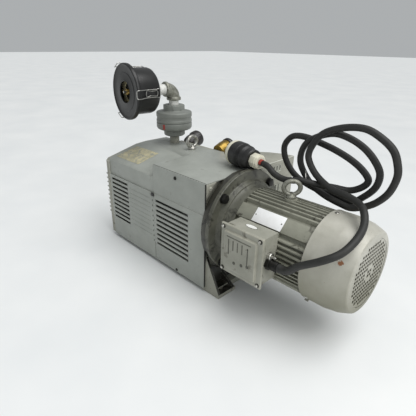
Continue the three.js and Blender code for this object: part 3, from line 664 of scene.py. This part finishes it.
# %% Screw and bolt makers
def domed_screw(name, at_mm, direction, radius_mm, finish):
    """A slotted round head standing on a face."""
    place = facing(at_mm, direction, (0.1, 0.2, 1) if abs(direction[2]) < 0.9 else (1, 0, 0))
    height = radius_mm * 0.55
    profile = [(0, 0), (radius_mm, 0), (radius_mm, height * 0.35), (radius_mm * 0.8, height * 0.8),
               (radius_mm * 0.45, height), (0, height)]
    head = turned(name, profile, Matrix.Identity(4), 24)
    slot = block("cutter", (-radius_mm * 2, -radius_mm * 0.14, height * 0.5),
                 (radius_mm * 2, radius_mm * 0.14, height * 2), 0)
    modify(head, "BOOLEAN", operation="DIFFERENCE", object=slot, solver="EXACT")
    bpy.data.objects.remove(slot)
    return finished(settle(head, place), finish)


def hex_bolt(name, at_mm, direction, flats_mm, finish, washer=True):
    """A hexagon head, chamfered, on a washer."""
    place = facing(at_mm, direction, (0.3, 0.2, 1))
    corner = flats_mm / 2 / math.cos(math.pi / 6)
    seat = 1.5 if washer else 0
    head = turned(name, rod(corner, seat, flats_mm * 0.42 + 1.5), place, 6, round_mm=0.7, bend=50)
    if washer:
        head = joined(head, turned("washer", rod(flats_mm * 0.62, 0, 1.6), place, 32, round_mm=0.3))
    return finished(head, finish)


domed_screw("panel_screw_top", (-107, -101.9, 251), (0, -1, 0), 4.2, black_oxide)
domed_screw("panel_screw_low", (-107, -103.4, 15), (0, -1, 0), 3.6, black_oxide)
domed_screw("plate_screw", (-9.9, -88, 250), (1, 0, 0), 4.8, cast_enamel)
domed_screw("grille_screw", (-402, -88, 30), (-1, 0, 0), 4.2, plated)
hinge_clip = block("panel_clip", (-197, -106.5, 184), (-187, -102.5, 193), 1.8, 3)
finished(hinge_clip, nylon)

# %% Roof label, worn blank
ROOF_RISE = math.atan2(23, 93)
label = block("roof_label", (-377, -30, -0.1), (-275, 38, 0.25), 0.1)
label_place = Matrix.Translation(Vector((0, -56, 247.4)) * MM) @ Matrix.Rotation(ROOF_RISE, 4, "X")
finished(settle(label, label_place), label_paper)

# %% [markdown]
# ## Check valve and elbow
# Two turned castings bolted face to face carry the pipe up to a street elbow. The elbow is a circle spun a
# quarter turn, which gives an even bend, with a thick band at each mouth.

# %% Check valve
INTAKE = Vector((-322, 74, 0))
upright_place = facing(INTAKE, (0, 0, 1), (0, 1, 0))
lower_profile = [
    (10.2, 284.3), (25.5, 284.3), (28.5, 286.5), (28.5, 300), (31, 301.5), (42, 302), (46.5, 304.5),
    (49, 309), (49, 320.4), (48, 321.6), (42, 321.6), (42, 308), (24, 308), (22, 296), (10.2, 296),
    (10.2, 284.3),
]
upper_profile = [
    (42, 322), (48, 322), (49, 323.4), (49, 329), (47.8, 330), (47.8, 337), (49, 338), (49, 347.5), (47, 350),
    (31, 351.4), (28.4, 354), (28.4, 366), (27, 368), (13.7, 368), (13.7, 352), (20, 350), (20, 344),
    (42, 344), (42, 322),
]
valve_low = turned("check_valve_lower_shown", lower_profile, upright_place, 96, round_mm=0.5)
low_boss = turned("valve_low_boss", ring(22.5, 29.6, 287, 299.5), upright_place, 8, round_mm=0.9)
finished(joined(valve_low, low_boss), valve_enamel, ["check_valve_lower"])
valve_top = turned("check_valve_upper_shown", upper_profile, upright_place, 96, round_mm=0.5)
top_boss = turned("valve_top_boss", ring(21, 29.6, 355, 367.6), upright_place, 8, round_mm=0.9)
finished(joined(valve_top, top_boss), valve_enamel, ["check_valve_upper"])
mark = turned("seal_mark", [(49.15, 307), (49.2, 320)], upright_place, 4, 8, math.radians(-70))
modify(mark, "SOLIDIFY", thickness=0.3 * MM, offset=0)
finished(mark, red_dye)

print("check valve is", round(valve_low.dimensions.x / MM, 1), "mm across")

# %% Pipe and nipples
pipe_route = [(-322, 74, 284), (-322, 74, 262), (-322, 74, 226), (-318, 74, 211), (-308, 74, 200),
              (-293, 74, 195), (-268.3, 74, 195)]
finished(wire("suction_pipe_shown", pipe_route, 13.4, 8), cast_enamel, ["suction_pipe"])


def taped_nipple(name, place, near, far, node_name):
    """A pipe nipple whose threads are wrapped in white tape, with the thread's ridges showing through."""
    profile = [(10.2, near)]
    turns = int((far - near) / 1.8)
    for i in range(turns):
        along = near + (far - near) * i / turns
        profile += [(12.9, along), (13.45, along + 0.9)]
    profile += [(12.9, far), (10.2, far), (10.2, near)]
    return finished(turned(name, profile, place, 48), tape, [node_name], smooth=50)


FILTER_AXIS = Vector((-math.sin(math.radians(6)), -math.cos(math.radians(6)), 0))
FILTER_AT = INTAKE + Vector((0, 0, 409))
filter_place = facing(FILTER_AT, FILTER_AXIS)
taped_nipple("upper_nipple_shown", upright_place, 354, 381, "upper_nipple")
taped_nipple("filter_nipple_shown", filter_place, 16, 71, "filter_nipple")


# %% Elbow
BEND = 24


def bent_elbow():
    """A circle spun a quarter turn, from the upright mouth to the level one."""
    clear()
    bpy.ops.mesh.primitive_circle_add(vertices=40, radius=16.5 * MM, location=(0, 0, -BEND * MM))
    piece = own("elbow_body")
    settle(piece)
    bpy.ops.object.mode_set(mode="EDIT")
    bpy.ops.mesh.select_all(action="SELECT")
    bpy.ops.mesh.spin(steps=16, angle=math.radians(90), center=(0, BEND * MM, -BEND * MM), axis=(1, 0, 0))
    bpy.ops.mesh.select_all(action="SELECT")
    bpy.ops.mesh.remove_doubles(threshold=0.000002)
    bpy.ops.mesh.normals_make_consistent(inside=False)
    bpy.ops.object.mode_set(mode="OBJECT")
    return piece


elbow = bent_elbow()
mouth = [(14, BEND + 5), (14, BEND - 4), (16, BEND - 4), (18.6, BEND - 3), (19.6, BEND - 1.5),
         (19.6, BEND + 3.6), (18.6, BEND + 5), (14, BEND + 5)]
down_mouth = turned("elbow_band_down", mouth, Matrix.Rotation(math.pi, 4, "X"), 48)
out_mouth = turned("elbow_band_out", mouth, Matrix.Rotation(-math.pi / 2, 4, "X"), 48)
elbow_turn = Matrix.Translation(FILTER_AT * MM) @ Matrix.Rotation(math.radians(-6 + 180), 4, "Z")
finished(settle(joined(elbow, down_mouth, out_mouth), elbow_turn), zinc, ["elbow"], smooth=50)
print("elbow reaches", [round(v, 3) for v in elbow.dimensions])

# %% [markdown]
# ## Inlet filter
# A deep-drawn black can holds the paper cartridge, and a dished lid closes it. Three spring clips bent from
# one wire snap over the lid's rim, and a brass wing nut on the tie rod clamps the cartridge.

# %% Can and lid
can_profile = [
    (13.7, 68), (30, 68), (44, 69), (50, 71.5), (54.5, 76), (56.5, 82), (56.5, 128), (57.3, 129), (57.6, 131),
    (57.3, 133.4), (54, 133.7), (54, 82), (51, 75), (43, 71), (13.7, 71), (13.7, 68),
]
finished(turned("filter_can", can_profile, filter_place, 96), black_enamel, ["filter_bowl"])
lid_profile = [
    (26.4, 139.5), (27, 139), (45, 138.6), (58, 138.2), (62.5, 134.6), (67.6, 134.2), (68, 136), (68, 141.5),
    (66.8, 143.4), (64.8, 144), (62.6, 142.6), (60, 141.8), (47, 142), (45.8, 143), (30, 143.4), (27, 144.2),
    (25.8, 143.2), (26.4, 139.5),
]
finished(turned("filter_lid_shown", lid_profile, filter_place, 96), black_enamel, ["filter_lid"])

print("filter lid ends", max(along for radius, along in lid_profile), "mm from the elbow")

# %% Wing nut
nut_hub = turned("wing_nut_shown", [(3.3, 129.1), (8, 129.1), (8.2, 131), (7, 138), (6, 139), (3.3, 139),
                                    (3.3, 129.1)], Matrix.Identity(4), 32)
wings = []
for side in (-1, 1):
    inner, outer = sorted((side * 5, side * 19))
    wing = block("wing", (inner, -1.6, 132), (outer, 1.6, 141), 1.4, 3)
    pick_faces(wing, lambda middle, normal: normal.x * side > 0.9)
    bpy.ops.transform.resize(value=(1, 1, 1.5), center_override=(0, 0, 0.139))
    bpy.ops.object.mode_set(mode="OBJECT")
    wings.append(wing)
wing_nut = joined(nut_hub, *wings)
finished(settle(wing_nut, filter_place), brass, ["wing_nut"], "nut")
washer = turned("wing_nut_washer", ring(3.3, 24, 127.4, 129), filter_place, 48, round_mm=0.3)
finished(washer, black_oxide, body="nut")


# %% Wire clips
def mirrored(half):
    """A closed wire's points from the points of one side."""
    return half + [(-x, radial, along) for x, radial, along in reversed(half)]


outer_wire = mirrored([
    (9, 60.5, 79), (9, 60.8, 90), (9, 61, 104), (9.2, 61.6, 116), (9.6, 66, 128), (10, 70.6, 137),
    (9.6, 71, 144), (7, 69, 146.6),
])
inner_wire = mirrored([(5.5, 60, 86), (5.5, 60.4, 96), (5.2, 60.6, 106), (6.6, 60.8, 116)])
for index, angle in enumerate((90, 330, 210)):
    clip = joined(wire(f"clip_wire_{index + 1}", outer_wire, 1.05, 3, closed=True, steps=5),
                  wire("inner_wire", inner_wire, 0.8, 3, closed=True, steps=5))
    around = Matrix.Rotation(-math.radians(angle), 4, "Z")
    settle(clip, filter_place @ around)
    finished(clip, steel, [f"filter_clip_{index + 1}"], f"clip_{index + 1}")
    lug = block(f"clip_lug_{index + 1}", (-12, 54, 76), (12, 58.6, 82), 0.8)
    finished(settle(lug, filter_place @ around), black_enamel)

# %% [markdown]
# ## Lifting eyes
# A forged eye is a ring on a flared neck. A torus gives the ring, a spun profile the neck and collar.

# %% Eyes
def lifting_eye(name, x, y, seat, turn, finish, node_name):
    """A forged eye standing on its collar."""
    centre = Vector((x, y, seat + 21)) * MM
    clear()
    bpy.ops.mesh.primitive_torus_add(location=centre, rotation=(math.radians(90), 0, turn),
                                     major_radius=14 * MM, minor_radius=4.1 * MM,
                                     major_segments=56, minor_segments=18)
    loop = own(name)
    pick_faces(loop, lambda middle, normal: middle.z < (seat + 12) * MM)
    bpy.ops.transform.resize(value=(1.15, 1.15, 1), center_override=(x * MM, y * MM, 0))
    bpy.ops.object.mode_set(mode="OBJECT")
    settle(loop)
    neck = [(0, 0.3), (10, 0.3), (10.3, 1.2), (10, 4.4), (8.6, 5.6), (5.6, 8), (4.6, 11), (0, 11)]
    collar = turned("neck", neck, Matrix.Translation(Vector((x, y, seat)) * MM), 40)
    return finished(joined(loop, collar), finish, [node_name], smooth=50)


lifting_eye("motor_eye", 126, 0, 248, math.radians(45), zinc, "motor_lifting_eye")
lifting_eye("roof_eye", -232, 60, 263, math.radians(90), plated, "roof_lifting_eye")

# %% [markdown]
# ## Regulating valves
# The vacuum regulator is a black moulded knob on a short body. The relief valve is a brass body under a black
# cap. Bodies and knobs are profiles spun about the leaning axis, and ribs give the fingers a grip.

# %% Valves
VALVE_TILT = math.radians(14)


def valve_place(at_mm):
    """The place of a valve, which leans up from the shelf."""
    return facing(at_mm, (0, math.cos(VALVE_TILT), math.sin(VALVE_TILT)))


def ribbed(piece, place, ribs, radius, near, far):
    """Adds ribs round a knob's rim, each sunk into it."""
    for i in range(ribs):
        rib = block("rib", (-0.9, radius - 1.5, near), (0.9, radius + 0.6, far), 0.4)
        settle(rib, place @ Matrix.Rotation(2 * math.pi * i / ribs, 4, "Z"))
        joined(piece, rib)
    return piece


vacuum_place, relief_place = valve_place((-321, 121, 252)), valve_place((-193, 121, 252))
vacuum_stem = [(0, 0.3), (16, 0.3), (19.5, 12), (19.5, 20), (18, 22), (0, 22)]
vacuum_grip = [(0, 22.3), (20, 22.3), (22.4, 27), (22.4, 44), (20, 48), (0, 48)]
relief_stem = [(0, 0.3), (19, 0.3), (21, 20), (21, 33), (20, 36), (0, 36)]
relief_cap = [(0, 36.3), (22, 36.3), (22, 46), (20, 48), (0, 48)]

vacuum_body = turned("vacuum_body", vacuum_stem, vacuum_place, 64, round_mm=0.5)
finished(vacuum_body, phenolic, ["vacuum_valve_body"])
vacuum_knob = turned("vacuum_knob_shown", vacuum_grip, vacuum_place, 64, round_mm=0.5)
ribbed(vacuum_knob, vacuum_place, 24, 22.4, 28, 43.5)
finished(vacuum_knob, phenolic, ["vacuum_valve_knob"], "vacuum_knob")
relief_body = turned("relief_body", relief_stem, relief_place, 64, round_mm=0.5)
finished(relief_body, brass, ["relief_valve_body"])
relief_knob = turned("relief_knob_shown", relief_cap, relief_place, 64, round_mm=0.5)
ribbed(relief_knob, relief_place, 20, 22, 37.5, 45)
finished(relief_knob, phenolic, ["relief_valve_knob"], "relief_knob")

print("knobs lean", round(math.degrees(VALVE_TILT)), "degrees")

# %% [markdown]
# ## Motor
# The end shield is one casting: a flat flange that bolts to the pump and a smooth cone that grows out of it.
# The finned frame keeps its solid's outline with its edges rounded, and the cowl is a pressed cup.

# %% End shield and bolts
SHAFT_AT = Vector((0, 0, SHAFT_HEIGHT))
SHIELD_FACE = 15
BOLT_CIRCLE = 106
shaft_place = facing(SHAFT_AT, (1, 0, 0))
shield_profile = [
    (31.3, 5), (116.5, 5), (118, 6.5), (118, 13.5), (116.5, SHIELD_FACE), (101, SHIELD_FACE), (97.5, 16),
    (95.6, 19), (94.6, 25), (93.4, 26.6), (90.5, 27.4), (88.2, 31), (87, 38), (86.4, 47.7), (75.4, 47.7),
    (84, 23), (38, 23), (38, 26), (31.3, 26), (31.3, 5),
]
end_shield = turned("end_shield", shield_profile, shaft_place, 128)
finished(end_shield, shield_enamel_grime_and_shade, ["drive_end_shield"], smooth=28)
for index in range(4):
    angle = math.radians(45 + 90 * index)
    at = SHAFT_AT + Vector((SHIELD_FACE, BOLT_CIRCLE * math.cos(angle), BOLT_CIRCLE * math.sin(angle)))
    hex_bolt(f"flange_bolt_{index + 1}", at, (1, 0, 0), 17, black_oxide)
softened("motor_frame", 0.7, motor_enamel, worn=motor_edge_wear_and_highlight_enamel)

# %% Name plate, left blank, and its rivets
PLATE_REACH = 88.1
slope = Vector((0, -1, 1)).normalized()
plate_place = facing(SHAFT_AT + Vector((122, 0, 0)) + PLATE_REACH * slope, slope, (1, 0, 0))
name_plate = block("name_plate", (-14.8, -34, -0.5), (14.8, 34, 0.5), 0.3)
finished(settle(name_plate, plate_place), plate_aluminium)
for index, along in enumerate((-30, 30)):
    centre = plate_place @ (Vector((0, along, 0.5)) * MM)
    domed_screw(f"plate_rivet_{index + 1}", centre / MM, slope, 1.6, steel)


# %% Fan cowl
COWL_RADIUS = 90
COWL_END = 300
GRID_PITCH = 8.4
GRID_CELLS = 16
GRID_WIRE = 1.9


def cowl():
    """A pressed cup, conical at its end, its inside painted near-black as shade, closed by a face pierced in
    a square grid.
    """
    wall = 1.6
    inner = COWL_RADIUS - wall
    outside = [(COWL_RADIUS, 214), (90.3, 215), (COWL_RADIUS, 216), (COWL_RADIUS, 255), (89.3, 259),
               (86.2, 278), (80.5, 293), (78, 298), (75.5, 299.6), (66, COWL_END)]
    inside = [(66, COWL_END - wall), (75, 298), (76.5, 296.6), (79, 292), (84.6, 277.6), (inner, 257),
              (inner, 214), (COWL_RADIUS, 214)]
    cup = turned("cowl_cup", outside + inside, shaft_place, 128)
    cup.data.materials.append(cowl_silver)
    cup.data.materials.append(painted_shade_black)
    # Faces that look inward take the near-black painted shade.
    for face in cup.data.polygons:
        outward = (face.center - shaft_place.translation).normalized()
        outward.x = 0
        face.material_index = 1 if face.normal.dot(outward.normalized()) < -0.3 else 0
    clear()
    bpy.ops.mesh.primitive_grid_add(x_subdivisions=GRID_CELLS, y_subdivisions=GRID_CELLS,
                                    size=GRID_PITCH * GRID_CELLS * MM)
    grid = own("cowl_grid")

    def pierced(middle, normal):
        reach = math.hypot(middle.x, middle.y) / MM
        return reach < 61 and not 6.5 < reach < 17

    pick_faces(grid, pierced)
    bpy.ops.mesh.inset(thickness=GRID_WIRE / 2 * MM, use_individual=True)
    bpy.ops.mesh.delete(type="FACE")
    bpy.ops.object.mode_set(mode="OBJECT")
    pick_faces(grid, lambda middle, normal: math.hypot(middle.x, middle.y) > 68.5 * MM)
    bpy.ops.mesh.delete(type="FACE")
    bpy.ops.object.mode_set(mode="OBJECT")
    modify(grid, "SOLIDIFY", thickness=1.4 * MM, offset=-1)
    settle(grid, facing((COWL_END - 0.5, 0, SHAFT_HEIGHT), (1, 0, 0)))
    grid.data.materials.append(cowl_silver)
    return finished(joined(cup, grid), None, ["fan_cowl"], smooth=28)


cowl()
for index, angle in enumerate((0, 115, 230)):
    around = Vector((0, math.sin(math.radians(angle)), math.cos(math.radians(angle))))
    at = SHAFT_AT + Vector((224, 0, 0)) + COWL_RADIUS * around
    domed_screw(f"cowl_screw_{index + 1}", at, around, 4, plated)
low_side = Vector((0, -0.66, -0.75)).normalized()
hex_bolt("cowl_bolt", SHAFT_AT + Vector((222, 0, 0)) + COWL_RADIUS * low_side, low_side, 7, zinc)

# %% [markdown]
# ## Terminal box
# The cast box has rounded edges. Its cover carries a raised panel and a screw in each corner, and the cord
# leaves through a gland at its side. Both keep their solids' outlines, so only edges and details are new.

# %% Box, cover and their screws
softened("terminal_box", 1.6, cast_enamel, segments=3, worn=motor_edge_wear_and_highlight_enamel)
softened("terminal_cover", 1.8, cast_enamel, segments=3, worn=motor_edge_wear_and_highlight_enamel)
RIM_FACE, PANEL_FACE = -131.8, -136
for index, (x, z) in enumerate(((71.5, 121.5), (158.5, 121.5), (71.5, 211.5), (158.5, 211.5))):
    at = (x, RIM_FACE, z)
    # A flat black ring round each screw is painted shade for the recess it sits in.
    recess = turned(f"cover_recess_shade_{index + 1}", ring(3, 4.3, 0, 0.4), facing(at, (0, -1, 0)), 32)
    finished(recess, black_oxide)
    hex_bolt(f"cover_screw_{index + 1}", at, (0, -1, 0), 5.5, plated, washer=False)
# Raised bars and dots stand on the panel, with no wording; their dark enamel is partly grime and partly
# painted shade.
bars = ((88, 160, 192), (99, 172, 192), (110, 172, 192), (121, 172, 192), (134, 150, 190))
relief = [block("cover_bar", (x, PANEL_FACE - 0.9, low), (x + 2.2, PANEL_FACE, high), 0.4)
          for x, low, high in bars]
relief.append(block("cover_bar", (84, PANEL_FACE - 0.9, 196), (142, PANEL_FACE, 198), 0.4))
for index, x in enumerate((104, 122, 136)):
    dot_place = facing((x, PANEL_FACE, 146 + 3 * index), (0, -1, 0))
    relief.append(turned("cover_dot", rod(3.2, 0, 1), dot_place, 20, round_mm=0.3))
finished(joined(*relief), shield_enamel_grime_and_shade)

# %% Oval sticker, left blank
for name, width, depth, top, finish in (
    ("sticker_edge", 13.6, 6.1, 0.15, rubber),
    ("oval_sticker", 12.8, 5.2, 0.3, tape),
):
    oval = turned(name, rod(1, 0, top), Matrix.Identity(4), 48)
    oval.scale = (width, depth, 1)
    settle(oval)
    finished(settle(oval, facing((111.5, -99.5, 213), (0, 0, 1), (0, 1, 0))), finish)

# %% Cord gland
GLAND_BORE = 7.2
gland_place = facing((0, -108, 161), (1, 0, 0))
gland_nut = turned("gland_nut", ring(GLAND_BORE, 12, 160.4, 168.5), gland_place, 6, round_mm=0.7, bend=50)
gland_tube = turned("gland_tube", ring(GLAND_BORE, 9.8, 162, 183.4), gland_place, 40, round_mm=0.8)
finished(joined(gland_nut, gland_tube), black_oxide, ["cord_gland"])
# A plated earth screw stands in the box's side above the cord.
earth_place = facing((160.2, -106, 174), (1, 0, 0.1))
earth_profile = [(0, 0), (8.6, 0), (8.6, 2), (7.6, 2.4), (7.6, 6), (6.2, 7.4), (2.4, 7.6), (2.4, 15),
                 (1.8, 16), (0, 16)]
earth = turned("earth_screw", earth_profile, earth_place, 32)
finished(earth, plated)

# %% A twist of wire round the cord
tie_centre = Vector((131, 38, 283)) * MM
clear()
bpy.ops.mesh.primitive_torus_add(location=tie_centre, rotation=(0, math.radians(80), math.radians(30)),
                                 major_radius=13.5 * MM, minor_radius=0.8 * MM,
                                 major_segments=40, minor_segments=8)
tie = own("wire_tie")
finished(settle(tie), steel)

# %% [markdown]
# ## The solids that stay
# Pieces inside the covers keep their solids. Each gets the finish that it would have on the real machine.

# %% Finish the hidden solids
kept = {
    iron: ["cylinder", "front_end_plate", "rear_end_plate", "rotor"],
    steel: ["front_bearing", "rear_bearing", "motor_front_bearing", "motor_rear_bearing", "motor_rotor",
            "coupling_pump_half", "coupling_motor_half", "check_disc", "tie_rod"],
    carbon: ["vane_1", "vane_2", "vane_3", "vane_4"],
    nylon: ["pump_cooling_fan", "motor_fan"],
    rubber: ["coupling_spider", "rear_foot_near", "rear_foot_far"],
    copper: ["wound_stator"],
    motor_enamel: ["fan_end_shield"],
    paper: ["filter_element"],
}
for finish, names in kept.items():
    for name in names:
        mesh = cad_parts[name].data
        mesh.materials.clear()
        mesh.materials.append(finish)
print("solids kept in view:", sum(len(v) for v in kept.values()))

# %% [markdown]
# ## Floor and light
# A pale floor, a broad soft light from above and one large lamp at the motor's end give the even light of a
# studio. The world adds a pale fill so that no side goes black.

# %% Floor
clear()
bpy.ops.mesh.primitive_plane_add(size=40, location=(0, 0, -0.0005))
floor = own("floor")
floor_finish, floor_tree, floor_shader, floor_place = material("pale_laminate", Roughness=0.45, IOR=1.45)
floor_cloud = noise(floor_tree, floor_place, 300, 3.0)
floor_colour = ramp(floor_tree, floor_cloud, [(0.3, "#e3e5e5"), (0.7, "#ecedec")])
floor_tree.links.new(floor_colour, floor_shader.inputs["Base Color"])
floor.data.materials.append(floor_finish)


# %% Lights
def lamp(name, position, target, size, power):
    """A square soft lamp aimed at a point."""
    data = bpy.data.lights.new(name, "AREA")
    data.size = size
    data.energy = power
    made = bpy.data.objects.new(name, data)
    bpy.context.scene.collection.objects.link(made)
    made.location = position
    made.rotation_euler = (Vector(target) - Vector(position)).to_track_quat("-Z", "Y").to_euler()
    return made


sun = bpy.data.lights.new("ceiling", "SUN")
sun.energy = 1.9
sun.angle = math.radians(50)
ceiling = bpy.data.objects.new("ceiling", sun)
bpy.context.scene.collection.objects.link(ceiling)
ceiling.rotation_euler = Vector((0.35, 0.12, 1)).to_track_quat("Z", "Y").to_euler()
lamp("window", (1.9, -0.2, 1.5), (0, 0, 0.2), 1.2, 14)
world = bpy.context.scene.world or bpy.data.worlds.new("studio")
bpy.context.scene.world = world
world.use_nodes = True
sky = world.node_tree.nodes["Background"]
sky.inputs["Color"].default_value = linear("#eef2f4")
sky.inputs["Strength"].default_value = 0.48
